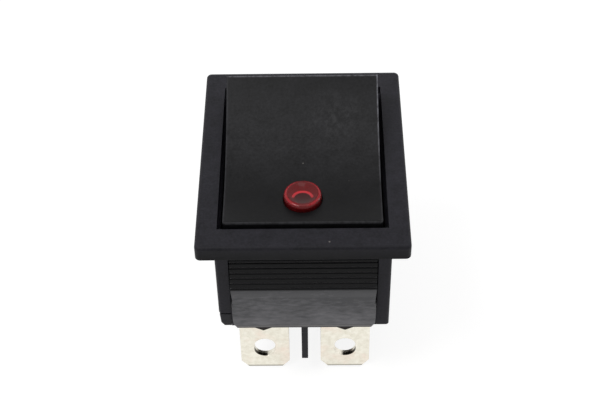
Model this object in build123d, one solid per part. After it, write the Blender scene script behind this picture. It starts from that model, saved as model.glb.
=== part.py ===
from build123d import *
import os
from math import asin, cos, pi, radians, sin, tan

# Panel rocker switch, double pole, with a small lamp in the rocker.
# Lengths are in millimetres and angles in degrees.
# X runs to the right, Y away from the pressed end of the rocker, Z up out of the panel.
# The origin is the centre of the bezel's underside, the face that rests on the panel.

# Body below the bezel
body_depth = 14.0
opening_length = 24.9         # the space inside the body, from end wall to end wall
end_wall = 1.35
side_wall = 0.8
body_corner = 0.4
key_width = 1.5               # cut corner of the body that keys the base
key_slope = 0.12              # how far the key leans in above its lower corner
key_corner_width = 0.4        # cut of that lower corner
key_corner_height = 0.6
key_height = 2.1              # top of the key above the underside of the base
key_seam = 0.3                # open line between the key and the body above it
key_gap = 0.03                # between the key and the snap wing beside it
stop_width = 1.1              # corner posts that stop the rocker and seat the base
stop_length = 1.9
stop_flex_room = 0.5          # space between a post and the back of a snap wing

# Bezel
bezel_side_rim = 2.05         # how far the bezel stands past the body at each side
bezel_end_rim = 1.7
bezel_thickness = 2.0
bezel_corner = 0.65           # radius of the four corners seen from above
bezel_edge = 0.4              # rounding of the upper rim
opening_step = 0.35           # the opening in the bezel is this much wider at each side
opening_depth = 1.0           # depth of that wide part

# Snap wings, one on each end of the body
wing_side_margin = 1.7        # from the side of the body to the side of a wing
wing_top = 2.05               # depth of the wing's free end below the bezel
wing_crest_depth = 6.26
wing_crest_height = 1.0       # how far the crest stands out of the body
wing_foot_height = 0.4
wing_foot_taper = 0.05        # each side of the wing comes in this much at its foot
wing_slot = 0.12
wing_root = 3.2               # solid length that carries the wing at its foot
wing_step_depth = 9.1
wing_step = 0.18
wing_corner_width = 0.45      # cut of the wing's lower corners
wing_corner_height = 0.8
groove_count = 6
groove_first = 2.36
groove_pitch = 0.724
groove_width = 0.28
groove_depth = 0.34
nib_height = 0.55             # two small pointed nibs under a wing
nib_width = 2.1
nib_spacing = 10.1

# Rocker
pivot_depth = 2.05            # axis of the trunnions below the bezel's underside
rocker_travel = 28.0
rocker_height = 7.23          # top corners above the pivot
rocker_dish = 2.0             # depth of the hollow in the rocker's top
rocker_skin = 1.4
rocker_side_gap = 0.3         # between a cheek and the wall of the body
rocker_tip_gap = 0.56         # between the pressed end and the opening
rocker_skirt_gap = 0.3        # between the round end skirt and the opening
rocker_edge = 0.3
skirt_top_angle = 17.8
skirt_foot_angle = 14.0
stop_land = 2.4               # flat under each skirt that meets the corner posts
cheek_below_trunnion = 1.0
trunnion_radius = 1.6
trunnion_reach = 0.6          # length of a trunnion inside the wall
trunnion_clearance = 0.05
stop_clearance = 0.1

# Lamp and lens in the rocker
lens_radius = 2.27
lens_end_margin = 3.92        # from the lens's centre to the pressed end of the rocker
lens_clearance = 0.09
lens_wall = 0.4               # upright part of the lens above the rocker
lens_round = 0.6              # rounding from there up to the crest
lens_hollow = 0.28            # depth of the dimple inside the crest
lens_recess_radius = 1.5      # the cap is hollow from below
lens_recess_roof = 0.9        # thickness left in its middle
lens_flange = 0.5
lens_flange_height = 0.55
lens_seat_gap = 0.18
lamp_radius = 1.85
lamp_end_gap = 1.65           # from the lamp to the inside of the round end skirt
lamp_rear = 1.2               # from the pivot to the lamp's leads
lamp_drop = 4.18              # axis of the lamp below the bottom of the dish
lamp_neck_radius = 1.0
lamp_saddle_gap = 0.1
lamp_saddle_width = 0.7
lamp_saddle_margin = 0.2
lamp_saddle_lip = 0.28        # how far a saddle's lips close over the lamp
lead_radius = 0.2
lead_spacing = 1.2
resistor_radius = 0.8
resistor_cap_radius = 0.92
resistor_length = 3.4
resistor_start = 1.3
resistor_lead_turn = 1.0
resistor_lead_offset = 1.5    # from the resistor's axis to its returning lead

# Poles: springs, plungers, levers and contacts
pole_wall_gap = 0.825         # from a terminal's shoulder to the side wall of the body
pole_middle_gap = 1.13        # from a terminal's shoulder to the divider in the middle
post_radius = 2.2
post_wall = 0.65
post_bore_cover = 1.23        # between a post's bore and the skin of the rocker
post_slit = 0.7
plunger_clearance = 0.07
plunger_stand_out = 3.0       # from the foot of a post to the plunger's tip
plunger_shoulder = 1.2        # top of the plunger below the pivot
plunger_taper_length = 2.1
plunger_tip_radius = 0.9
plunger_spigot_length = 0.8
spigot_gap = 0.3
spring_wire = 0.3
spring_turns = 5
spring_bore_gap = 0.1
lever_room = 3.8              # from the plunger's tip to the floor of the switch
lever_gap = 0.07              # between plunger and lever as the rocker passes its middle
lever_thickness = 0.6
lever_rise = 9.0              # angle of each arm above level
lever_tip_margin = 1.1        # from the contact's centre to the end of its arm
lever_free_arm = 6.2
lever_end_radius = 0.8
lever_seat_gap = 0.05
contact_setback = 3.25        # from the blades at the pressed end to the contacts
contact_radius = 1.1
contact_head = 0.6
contact_dome = 0.12
contact_shank_radius = 0.6
contact_shank_gap = 0.03
contact_closed_gap = 0.09

# Terminals
blade_width = 6.3
blade_thickness = 0.8
blade_reach = 12.1            # from the underside of the base to the tip
blade_end_margin = 1.7        # from the end of the base to the blades beside it
blade_cut_width = 1.1
blade_cut_height = 1.4
blade_bevel = 0.2
blade_hole_width = 2.7
blade_hole_height = 3.5
blade_hole_to_tip = 4.15
pad_step = 0.55               # the bent pad is this much narrower at each side
pad_bend = 1.0
pad_overhang = 1.4            # from the contact's centre to the end of the pad
ear_width = 0.7
ear_height = 1.5
ear_gap = 0.15
shoulder_step = 0.5
shoulder_height = 0.9

# Base that closes the body and carries the terminals
base_thickness = 1.85
base_gap = 0.1
base_seat_gap = 0.05
blade_slot_gap = 0.05
blank_slot_depth = 0.8
pad_seat_gap = 0.03
lug_width = 3.0
lug_height = 0.8
lug_reach = 0.6
lug_end_margin = 4.95         # from the end of the opening to a lug's centre
lug_foot_height = 0.85        # above the underside of the base
lug_gap = 0.1
barrier_thickness = 0.79
barrier_reach = 9.6           # from the underside of the base to the barrier's edge
barrier_corner = 1.0
divider_end_margin = 3.35     # from the end of the base to the divider
divider_height = 3.25

# Working allowances
weld = 0.01                   # how far two volumes of one piece run into each other
past = 1.0                    # how far a cut runs past the face that it opens

# Values that follow from the ones above
half_travel = rocker_travel / 2
shoulder_half = blade_width / 2 + shoulder_step
pole_x = barrier_thickness / 2 + pole_middle_gap + shoulder_half
bore_width = 2 * (pole_x + shoulder_half + pole_wall_gap)
body_width = bore_width + 2 * side_wall
body_length = opening_length + 2 * end_wall
bezel_width = body_width + 2 * bezel_side_rim
bezel_length = body_length + 2 * bezel_end_rim
opening_width = bore_width + 2 * opening_step
wing_width = body_width - 2 * wing_side_margin
wing_foot_width = wing_width - 2 * wing_foot_taper
rocker_width = bore_width - 2 * rocker_side_gap
rocker_half_length = (
    opening_length / 2 - rocker_tip_gap - rocker_height * sin(radians(half_travel))
) / cos(radians(half_travel))
skirt_radius = opening_length / 2 - rocker_skirt_gap
skirt_foot_y = skirt_radius * cos(radians(skirt_foot_angle))
skirt_foot_z = -skirt_radius * sin(radians(skirt_foot_angle))
land_drop = stop_land * tan(radians(half_travel))
cheek_depth = trunnion_radius + cheek_below_trunnion
dish_floor = rocker_height - rocker_dish
dish_radius = (rocker_half_length**2 + rocker_dish**2) / (2 * rocker_dish)
stop_top = (
    -pivot_depth - skirt_foot_y * sin(radians(half_travel))
    + skirt_foot_z * cos(radians(half_travel)) - stop_clearance
)
base_top = -body_depth + base_thickness
base_seat = base_top + base_seat_gap
key_top = -body_depth + key_height
lens_position = rocker_half_length - lens_end_margin
lamp_front = skirt_radius - rocker_skin - lamp_end_gap
lamp_axis_height = dish_floor - lamp_drop
post_bore_radius = post_radius - post_wall
post_bore_top = dish_floor - rocker_skin - post_bore_cover
plunger_reach = body_depth - base_thickness - pivot_depth - lever_room
post_reach = plunger_reach - plunger_stand_out
plunger_taper_start = plunger_reach - plunger_taper_length
plunger_radius = post_bore_radius - plunger_clearance
plunger_spigot_radius = post_bore_radius - spring_bore_gap - spring_wire - spigot_gap
blade_row = opening_length / 2 - base_gap - blade_end_margin
lever_half_travel = half_travel / 2
lever_width = blade_width - 2 * (ear_width + ear_gap)
contact_arm = blade_row - contact_setback
lever_contact_arm = contact_arm + lever_tip_margin
valley_lift = plunger_tip_radius * (1 / cos(radians(lever_rise)) - 1)
lever_seat = (
    -pivot_depth - plunger_reach - lever_gap - valley_lift - lever_thickness / cos(radians(lever_rise))
)
pad_top = (
    lever_seat + contact_arm * sin(radians(lever_rise - lever_half_travel))
    - 2 * contact_head - contact_closed_gap
)
contact_y = -contact_arm * cos(radians(lever_rise - lever_half_travel))
lead_z = post_bore_top - lead_radius - spring_bore_gap / 2
spring_top = lead_z - lead_radius
poles = {"left": -pole_x, "right": pole_x}


def block(x, y, z):
    # a box given by its low and high value on each axis
    centre = [(low + high) / 2 for low, high in (x, y, z)]
    size = [high - low for low, high in (x, y, z)]
    return Pos(*centre) * Box(*size)


def polygon(*points):
    return make_face(Polyline(*points, close=True))


def across(face, x_low, x_high):
    # a side view, drawn in Y and Z, given its width along X
    return extrude(Plane.YZ.offset(x_low) * face, amount=x_high - x_low)


def lengthwise(face, y_low, y_high):
    # a front view, drawn in X and Z, given its length along Y
    return extrude(Plane.XZ.offset(-y_high) * face, amount=y_high - y_low)


def crown(rim_radius, rim_height, top_height):
    # half of a round crown or hollow, from its rim to the axis
    rise = top_height - rim_height
    sphere = (rim_radius**2 + rise**2) / (2 * rise)
    middle = asin(rim_radius / abs(sphere)) / 2
    through = (abs(sphere) * sin(middle), top_height - sphere * (1 - cos(middle)))
    return ThreePointArc((rim_radius, rim_height), through, (0, top_height))


def both_ends(solid):
    return solid + Rot(0, 0, 180) * solid


def at_rest(shape):
    # from the rocker's own frame, with its pivot at the origin, to the pressed position
    return Pos(0, 0, -pivot_depth) * Rot(half_travel, 0, 0) * shape


def round_pin(radius, start, length):
    # an upright pin from a height start
    return Pos(0, 0, start + length / 2) * Cylinder(radius, length)


def wire(points, bend):
    path = FilletPolyline(*points, radius=bend)
    section = Plane(origin=path @ 0, z_dir=path % 0) * Circle(lead_radius)
    return sweep(section, path=path)


def wing_side_view():
    face_y = body_length / 2
    inner_y = opening_length / 2
    crest_y = face_y + wing_crest_height
    foot_y = face_y + wing_foot_height
    outline = polygon(
        (-inner_y, -wing_top),
        (-face_y, -wing_top),
        (-crest_y, -wing_crest_depth),
        (-foot_y, -body_depth),
        (-inner_y, -body_depth),
    )
    slope = wing_crest_height / (wing_crest_depth - wing_top)
    for index in range(groove_count):
        depth = groove_first + index * groove_pitch
        bottom_y = face_y + slope * (depth - wing_top) - groove_depth
        groove = polygon(
            (-bottom_y, -depth + groove_width / 2),
            (-bottom_y - 2 * wing_crest_height, -depth + groove_width / 2),
            (-bottom_y - 2 * wing_crest_height, -depth - groove_width / 2),
            (-bottom_y, -depth - groove_width / 2),
        )
        outline -= groove
    return outline


def wing_front_view():
    # the part that stands out of the body narrows in a small step and towards its foot
    half = wing_width / 2
    foot = wing_foot_width / 2
    right = [
        (half, 0),
        (half, -wing_crest_depth),
        (half - wing_step, -wing_step_depth),
        (foot + wing_step, -wing_step_depth - wing_step),
        (foot, -body_depth + wing_corner_height),
        (foot - wing_corner_width, -body_depth),
    ]
    left = [(-x, z) for x, z in reversed(right)]
    return polygon(*right, *left)


def wing():
    tongue = across(wing_side_view(), -wing_width / 2, wing_width / 2)
    face_y = -body_length / 2
    proud = block(
        (-wing_width, wing_width), (face_y - 2 * wing_crest_height, face_y), (-body_depth, 0)
    )
    trimmed = proud - lengthwise(wing_front_view(), face_y - 3 * wing_crest_height, face_y)
    tongue -= trimmed
    for nib_x in (-nib_spacing / 2, nib_spacing / 2):
        nib = polygon(
            (nib_x - nib_width / 2, -body_depth),
            (nib_x, -body_depth - nib_height),
            (nib_x + nib_width / 2, -body_depth),
            (nib_x, -body_depth + nib_height),
        )
        tongue += lengthwise(nib, face_y - wing_foot_height, face_y + wing_foot_height)
    return tongue


def housing():
    bezel = block(
        (-bezel_width / 2, bezel_width / 2), (-bezel_length / 2, bezel_length / 2), (0, bezel_thickness)
    )
    bezel = fillet(bezel.edges().filter_by(Axis.Z), bezel_corner)
    bezel = fillet(bezel.faces().sort_by(Axis.Z)[-1].edges(), bezel_edge)
    body = block(
        (-body_width / 2, body_width / 2), (-body_length / 2, body_length / 2), (-body_depth, 0)
    )
    body = fillet(body.edges().filter_by(Axis.Z), body_corner)
    right = [
        (opening_width / 2, bezel_thickness + past),
        (opening_width / 2, bezel_thickness - opening_depth),
        (bore_width / 2, bezel_thickness - opening_depth - opening_step),
        (bore_width / 2, -body_depth - past),
    ]
    left = [(-x, z) for x, z in reversed(right)]
    shell = bezel + body
    shell -= lengthwise(polygon(*right, *left), -opening_length / 2, opening_length / 2)

    window = block(
        (-wing_width / 2 - wing_slot, wing_width / 2 + wing_slot),
        (-body_length / 2 - past, -opening_length / 2 + weld),
        (-body_depth + wing_root, -wing_top + wing_slot),
    )
    shell -= both_ends(window)
    shell += both_ends(wing())

    posts = []
    for x_side in (-1, 1):
        for y_side in (-1, 1):
            inner_x = bore_width / 2 - stop_width
            outer_x = (bore_width + side_wall) / 2
            outer_y = opening_length / 2 - stop_flex_room
            posts.append(
                block(
                    sorted((x_side * inner_x, x_side * outer_x)),
                    sorted((y_side * (outer_y - stop_length), y_side * outer_y)),
                    (base_seat, stop_top),
                )
            )
    shell += posts

    shell -= Pos(0, 0, -pivot_depth) * Rot(0, 90, 0) * Cylinder(
        trunnion_radius + trunnion_clearance, body_width + past
    )
    lug_foot = -body_depth + lug_foot_height
    for y_side in (-1, 1):
        lug_y = y_side * (opening_length / 2 - lug_end_margin)
        shell -= block(
            (-body_width, body_width),
            (lug_y - lug_width / 2 - lug_gap, lug_y + lug_width / 2 + lug_gap),
            (lug_foot - lug_gap, lug_foot + lug_height + lug_gap),
        )
    key_corner = block(
        (-body_width, -body_width / 2 + key_width),
        (-body_length, -opening_length / 2 + weld),
        (-body_depth - past, key_top + key_seam),
    )
    return shell - key_corner


def base():
    plate_x = bore_width / 2 - base_gap
    plate_y = opening_length / 2 - base_gap
    plate = block((-plate_x, plate_x), (-plate_y, plate_y), (-body_depth, base_top))

    key_right = -body_width / 2 + key_width - key_gap
    key_left = -body_width / 2 + base_gap
    key = polygon(
        (key_right, key_top),
        (key_left, key_top),
        (key_left + key_slope, -body_depth + key_corner_height),
        (key_left + key_slope + key_corner_width, -body_depth),
        (key_right, -body_depth),
    )
    key_front = -body_length / 2 + base_gap / 2
    plate += lengthwise(key, key_front, -opening_length / 2 - base_gap)
    plate += block((-plate_x, key_right), (-plate_y - end_wall / 2, weld - plate_y), (-body_depth, base_top))

    for x_side in (-1, 1):
        for y_side in (-1, 1):
            foot = -body_depth + lug_foot_height
            lug = polygon(
                (x_side * (plate_x - base_gap), foot),
                (x_side * (plate_x - base_gap), foot + lug_height),
                (x_side * (plate_x + base_gap + lug_reach / 2), foot + lug_height),
                (x_side * (plate_x + base_gap + lug_reach), foot),
            )
            lug_y = y_side * (opening_length / 2 - lug_end_margin)
            plate += lengthwise(lug, lug_y - lug_width / 2, lug_y + lug_width / 2)

    for x_centre in poles.values():
        slot_x = (
            x_centre - blade_width / 2 - blade_slot_gap,
            x_centre + blade_width / 2 + blade_slot_gap,
        )
        slot_half = blade_thickness / 2 + blade_slot_gap
        pad_half = blade_width / 2 - pad_step
        pad_support = block(
            (x_centre - pad_half, x_centre + pad_half),
            (-blade_row + slot_half + pad_bend, contact_y + pad_overhang),
            (base_top, pad_top - blade_thickness - pad_seat_gap),
        )
        rivet_room = Pos(x_centre, contact_y) * round_pin(
            contact_radius, base_top + pad_seat_gap, body_depth
        )
        plate += pad_support - rivet_room
        for y_centre in (-blade_row, 0):
            plate -= block(slot_x, (y_centre - slot_half, y_centre + slot_half), (-body_depth - past, 0))
        plate -= block(
            slot_x,
            (blade_row - slot_half, blade_row + slot_half),
            (-body_depth - past, -body_depth + blank_slot_depth),
        )

    wall = (-barrier_thickness / 2, barrier_thickness / 2)
    barrier = block(wall, (-plate_y, plate_y), (-body_depth - barrier_reach, -body_depth))
    barrier = chamfer(barrier.edges().filter_by(Axis.X).group_by(Axis.Z)[0], barrier_corner)
    divider_y = plate_y - divider_end_margin
    divider = block(wall, (-divider_y, divider_y), (base_top, base_top + divider_height))
    return plate + barrier + divider


def rocker_side_view(foot_points):
    top = ThreePointArc(
        (-rocker_half_length, rocker_height),
        (0, dish_floor),
        (rocker_half_length, rocker_height),
    )
    edges = [top]
    sweep_angle = skirt_top_angle + skirt_foot_angle
    right_skirt = CenterArc((0, 0), skirt_radius, -skirt_foot_angle, sweep_angle)
    left_skirt = CenterArc((0, 0), skirt_radius, 180 - skirt_top_angle, sweep_angle)
    edges += [right_skirt, left_skirt]
    edges += [Line(top @ 1, right_skirt @ 1), Line(top @ 0, left_skirt @ 0)]
    edges += Polyline(right_skirt @ 0, *foot_points, left_skirt @ 1).edges()
    return make_face(edges)


def rocker_foot():
    land_y = skirt_foot_y - stop_land
    right = [(land_y, skirt_foot_z - land_drop), (land_y - land_drop, -cheek_depth)]
    return right + [(-y, z) for y, z in reversed(right)]


def lens_place():
    # on the rocker's top, square to its hollow surface
    lean = lens_position / dish_radius
    height = dish_floor + dish_radius * (1 - cos(lean))
    return Pos(0, -lens_position, height) * Rot(-lean * 180 / pi, 0, 0)


def rocker():
    half_width = rocker_width / 2
    solid = across(rocker_side_view(rocker_foot()), -half_width, half_width)
    solid = fillet(solid.faces().sort_by(Axis.Z)[-1].edges(), rocker_edge)
    deep = [(skirt_foot_y, -2 * skirt_radius), (-skirt_foot_y, -2 * skirt_radius)]
    cavity = offset(rocker_side_view(deep), -rocker_skin, kind=Kind.INTERSECTION)
    inner_half = half_width - rocker_skin
    solid -= across(cavity, -inner_half, inner_half)

    trunnion_length = rocker_side_gap + trunnion_reach + weld
    for side in (-1, 1):
        centre = side * (half_width + trunnion_length / 2 - weld)
        solid += Pos(centre, 0, 0) * Rot(0, 90, 0) * Cylinder(trunnion_radius, trunnion_length)

    skin_middle = dish_floor - rocker_skin / 2
    bore_length = post_reach + past + post_bore_top
    for side, x_centre in poles.items():
        post = Pos(x_centre, 0) * round_pin(post_radius, -post_reach, post_reach + skin_middle)
        bore = Pos(x_centre, 0) * round_pin(post_bore_radius, -post_reach - past, bore_length)
        inward = post_radius + past if side == "left" else -post_radius - past
        slit = block(
            sorted((x_centre, x_centre + inward)),
            (-post_slit / 2, post_slit / 2),
            (-post_reach - past, post_bore_top),
        )
        solid += post
        solid -= bore + slit

    saddle_half = pole_x - post_radius / 2
    lamp_room = Pos(0, 0, lamp_axis_height) * Rot(90, 0, 0) * Cylinder(
        lamp_radius + lamp_saddle_gap, 3 * lamp_front
    )
    mouth_half = lamp_radius - lamp_saddle_lip
    mouth = block(
        (-mouth_half, mouth_half), (-2 * lamp_front, 2 * lamp_front), (-lamp_front, lamp_axis_height)
    )
    lens_depth = rocker_skin + lens_flange_height + 2 * lens_seat_gap + past
    lens_room = lens_place() * round_pin(
        lens_radius + lens_flange + lens_seat_gap, -lens_depth, lens_depth + past
    )
    inside = across(cavity, -inner_half, inner_half)
    for y_rear in (-lamp_rear - lamp_radius, -lamp_front + lamp_saddle_margin):
        saddle = block(
            (-saddle_half, saddle_half), (y_rear - lamp_saddle_width, y_rear), (0, rocker_height)
        )
        saddle = (saddle & inside) - lamp_room - mouth - lens_room
        for x_centre in poles.values():
            saddle -= Pos(x_centre, 0) * round_pin(post_bore_radius, -post_reach, 2 * post_reach)
        solid += saddle

    lens_hole = lens_place() * round_pin(lens_radius + lens_clearance, -2 * rocker_skin, 4 * rocker_skin)
    return solid - lens_hole


def lens():
    # clear cap pushed in from below, with a rounded crest and a shallow dimple
    shoulder = -rocker_skin - lens_seat_gap
    top = lens_wall + lens_round
    crest = lens_radius - lens_round
    roof = top - lens_hollow - lens_recess_roof
    foot = shoulder - lens_flange_height
    flange_radius = lens_radius + lens_flange
    profile = [
        Line((0, roof), (lens_recess_radius, roof)),
        Line((lens_recess_radius, roof), (lens_recess_radius, foot)),
        Line((lens_recess_radius, foot), (flange_radius, foot)),
        Line((flange_radius, foot), (flange_radius, shoulder)),
        Line((flange_radius, shoulder), (lens_radius, shoulder)),
        Line((lens_radius, shoulder), (lens_radius, lens_wall)),
        ThreePointArc(
            (lens_radius, lens_wall),
            (crest + lens_round * cos(pi / 4), lens_wall + lens_round * sin(pi / 4)),
            (crest, top),
        ),
        crown(crest, top, top - lens_hollow),
        Line((0, top - lens_hollow), (0, roof)),
    ]
    face = Plane.XZ * make_face(profile)
    return lens_place() * revolve(face, Axis.Z)


def neon_lamp():
    neck = lamp_neck_radius
    profile = [
        ThreePointArc(
            (0, -lamp_front),
            (lamp_radius * sin(pi / 4), -lamp_front + lamp_radius * (1 - cos(pi / 4))),
            (lamp_radius, -lamp_front + lamp_radius),
        ),
        Line((lamp_radius, -lamp_front + lamp_radius), (lamp_radius, -lamp_rear - neck)),
        Line((lamp_radius, -lamp_rear - neck), (neck, -lamp_rear)),
        Line((neck, -lamp_rear), (0, -lamp_rear)),
        Line((0, -lamp_rear), (0, -lamp_front)),
    ]
    return Pos(0, 0, lamp_axis_height) * revolve(make_face(profile), Axis.Y)


def lamp_lead(side):
    x_lamp = lead_spacing / 2 if side == "right" else -lead_spacing / 2
    start = (x_lamp, -lamp_rear, lamp_axis_height)
    if side == "left":
        return wire([start, (x_lamp, 0, lead_z), (poles["left"], 0, lead_z)], lead_radius * 2)
    joint_y = resistor_start / 2
    return wire([start, (x_lamp, 0, lead_z), (x_lamp, joint_y, lead_z)], lead_radius)


def lamp_resistor():
    x = lead_spacing / 2
    end = resistor_start + resistor_length
    body = Pos(x, (resistor_start + end) / 2, lead_z) * Rot(90, 0, 0) * Cylinder(
        resistor_radius, resistor_length
    )
    for y in (resistor_start + resistor_radius / 2, end - resistor_radius / 2):
        body += Pos(x, y, lead_z) * Rot(90, 0, 0) * Cylinder(resistor_cap_radius, resistor_radius)
    front_length = resistor_start / 2
    body += Pos(x, resistor_start - front_length / 2, lead_z) * Rot(90, 0, 0) * Cylinder(
        lead_radius, front_length
    )
    turn_y = end + resistor_lead_turn
    back_x = x + resistor_lead_offset
    route = [
        (x, end - resistor_radius, lead_z),
        (x, turn_y, lead_z),
        (back_x, turn_y, lead_z),
        (back_x, 0, lead_z),
        (poles["right"], 0, lead_z),
    ]
    return body + wire(route, lead_radius * 2)


def contact_spring(x_centre):
    coil_radius = post_bore_radius - spring_bore_gap - spring_wire / 2
    bottom = -plunger_shoulder + spring_wire / 2
    height = spring_top - spring_wire / 2 - bottom
    path = Helix(pitch=height / spring_turns, height=height, radius=coil_radius)
    section = Plane(origin=path @ 0, z_dir=path % 0) * Circle(spring_wire / 2)
    return Pos(x_centre, 0, bottom) * sweep(section, path=path, is_frenet=True)


def plunger(x_centre):
    tip_centre = -plunger_reach + plunger_tip_radius
    spigot_top = -plunger_shoulder + plunger_spigot_length
    profile = [
        Polyline(
            (0, spigot_top),
            (plunger_spigot_radius, spigot_top),
            (plunger_spigot_radius, -plunger_shoulder),
            (plunger_radius, -plunger_shoulder),
            (plunger_radius, -plunger_taper_start),
            (plunger_tip_radius, tip_centre),
        ),
        ThreePointArc(
            (plunger_tip_radius, tip_centre),
            (plunger_tip_radius * sin(pi / 4), tip_centre - plunger_tip_radius * cos(pi / 4)),
            (0, -plunger_reach),
        ),
        Line((0, -plunger_reach), (0, spigot_top)),
    ]
    edges = [edge for piece in profile for edge in piece.edges()]
    face = Plane.XZ * make_face(edges)
    return Pos(x_centre, 0, 0) * revolve(face, Axis.Z)


def lever_at_rest(shape):
    # from the lever's own frame, with its seat at the origin, to the open position
    return Pos(0, 0, lever_seat) * Rot(-lever_half_travel, 0, 0) * shape


def rivet(head_up):
    # contact button with its shank, seated on a strip whose face is at height 0
    profile = [
        Line((0, contact_head), (0, -lever_thickness)),
        Line((0, -lever_thickness), (contact_shank_radius, -lever_thickness)),
        Line((contact_shank_radius, -lever_thickness), (contact_shank_radius, 0)),
        Line((contact_shank_radius, 0), (contact_radius, 0)),
        Line((contact_radius, 0), (contact_radius, contact_head - contact_dome)),
        crown(contact_radius, contact_head - contact_dome, contact_head),
    ]
    button = revolve(Plane.XZ * make_face(profile), Axis.Z)
    return button if head_up else Rot(180, 0, 0) * button


def lever_contact_place(x_centre):
    rise = radians(lever_rise)
    return Pos(x_centre, -contact_arm * cos(rise), contact_arm * sin(rise)) * Rot(-lever_rise, 0, 0)


def contact_lever(x_centre):
    rise = radians(lever_rise)
    up = lever_thickness / cos(rise)
    near = (-lever_contact_arm * cos(rise), lever_contact_arm * sin(rise))
    far = (lever_free_arm * cos(rise), lever_free_arm * sin(rise))
    strip = polygon(near, (0, 0), far, (far[0], far[1] + up), (0, up), (near[0], near[1] + up))
    lever = across(strip, x_centre - lever_width / 2, x_centre + lever_width / 2)
    lever = fillet(lever.edges().filter_by(Axis.Z), lever_end_radius)
    hole = round_pin(contact_shank_radius + contact_shank_gap, -past, lever_thickness + 2 * past)
    return lever_at_rest(lever - lever_contact_place(x_centre) * hole)


def moving_contact(x_centre):
    return lever_at_rest(lever_contact_place(x_centre) * rivet(head_up=False))


def fixed_contact(x_centre):
    return Pos(x_centre, contact_y, pad_top) * rivet(head_up=True)


def blade(x_centre, y_centre, top):
    half = blade_width / 2
    tip = -body_depth - blade_reach
    right = [(half, top), (half, tip + blade_cut_height), (half - blade_cut_width, tip)]
    left = [(-x, z) for x, z in reversed(right)]
    face = polygon(*right, *left)
    hole = Rot(0, 0, 90) * SlotOverall(blade_hole_height, blade_hole_width)
    face -= Pos(0, tip + blade_hole_to_tip) * hole
    strip = lengthwise(face, -blade_thickness / 2, blade_thickness / 2)
    strip = chamfer(strip.edges().filter_by(Axis.X).group_by(Axis.Z)[0], blade_bevel)
    return Pos(x_centre, y_centre, 0) * strip


def contact_terminal(x_centre):
    strip_z = pad_top - blade_thickness / 2
    turn = FilletPolyline(
        (-blade_row, base_top), (-blade_row, strip_z), (contact_y + pad_overhang, strip_z), radius=pad_bend
    )
    pad_half = blade_width / 2 - pad_step
    bent = across(trace(turn, blade_thickness), x_centre - pad_half, x_centre + pad_half)
    hole = Pos(x_centre, contact_y) * round_pin(
        contact_shank_radius + contact_shank_gap, pad_top - 2 * blade_thickness, 3 * blade_thickness
    )
    return blade(x_centre, -blade_row, base_top + pad_seat_gap) + bent - hole


def pivot_terminal(x_centre):
    top = lever_seat - lever_seat_gap
    thickness = (-blade_thickness / 2, blade_thickness / 2)
    terminal = blade(x_centre, 0, top)
    shoulder_foot = base_top + pad_seat_gap
    terminal += block(
        (x_centre - shoulder_half, x_centre + shoulder_half),
        thickness,
        (shoulder_foot, shoulder_foot + shoulder_height),
    )
    for side in (-1, 1):
        inner = x_centre + side * (lever_width / 2 + ear_gap)
        outer = x_centre + side * blade_width / 2
        terminal += block(sorted((inner, outer)), thickness, (top - past, top + ear_height))
    return terminal


nodes = {
    "housing": housing(),
    "terminal_base": base(),
    "rocker": at_rest(rocker()),
    "lens": at_rest(lens()),
    "neon_lamp": at_rest(neon_lamp()),
    "lamp_resistor": at_rest(lamp_resistor()),
}
for side, x_centre in poles.items():
    nodes["lamp_lead_" + side] = at_rest(lamp_lead(side))
    nodes["contact_spring_" + side] = at_rest(contact_spring(x_centre))
    nodes["plunger_" + side] = at_rest(plunger(x_centre))
    nodes["contact_lever_" + side] = contact_lever(x_centre)
    nodes["moving_contact_" + side] = moving_contact(x_centre)
    nodes["fixed_contact_" + side] = fixed_contact(x_centre)
    nodes["contact_terminal_" + side] = contact_terminal(x_centre)
    nodes["pivot_terminal_" + side] = pivot_terminal(x_centre)

os.makedirs("parts", exist_ok=True)
for name, shape in nodes.items():
    export_step(shape, "parts/" + name + ".step")
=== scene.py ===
import bpy
import bmesh
from math import asin, cos, pi, radians, sin
from mathutils import Matrix, Vector


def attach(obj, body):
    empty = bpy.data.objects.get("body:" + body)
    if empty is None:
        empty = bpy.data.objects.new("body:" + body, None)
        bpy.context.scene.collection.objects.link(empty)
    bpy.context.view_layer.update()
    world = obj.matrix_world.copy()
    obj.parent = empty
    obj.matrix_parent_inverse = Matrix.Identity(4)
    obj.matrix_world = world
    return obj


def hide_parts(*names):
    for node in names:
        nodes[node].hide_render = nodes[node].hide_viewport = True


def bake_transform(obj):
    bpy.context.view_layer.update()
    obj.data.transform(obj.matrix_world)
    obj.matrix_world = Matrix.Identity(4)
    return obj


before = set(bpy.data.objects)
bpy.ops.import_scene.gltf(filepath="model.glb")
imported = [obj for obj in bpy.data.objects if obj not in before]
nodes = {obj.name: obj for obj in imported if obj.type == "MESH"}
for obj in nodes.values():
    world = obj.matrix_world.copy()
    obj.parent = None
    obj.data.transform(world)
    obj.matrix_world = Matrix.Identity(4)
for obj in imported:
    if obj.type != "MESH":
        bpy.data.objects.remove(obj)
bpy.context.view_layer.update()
scene = bpy.context.scene
scene.view_settings.view_transform = "Standard"
mm = 0.001
print("frame loaded with", len(nodes), "pieces")


def newMaterial(name):
    material = bpy.data.materials.new(name)
    material.use_nodes = True
    return material, material.node_tree, material.node_tree.nodes["Principled BSDF"]


def add(tree, kind, **settings):
    node = tree.nodes.new(kind)
    for key, value in settings.items():
        setattr(node, key, value)
    return node


def feed(tree, source, socket):
    # a link from an output, or a plain value
    if isinstance(source, bpy.types.NodeSocket):
        tree.links.new(source, socket)
    else:
        socket.default_value = source


def maths(tree, operation, first, second=None, third=None):
    node = add(tree, "ShaderNodeMath", operation=operation)
    for socket, value in zip(node.inputs, (first, second, third)):
        if value is not None:
            feed(tree, value, socket)
    return node.outputs[0]


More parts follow.
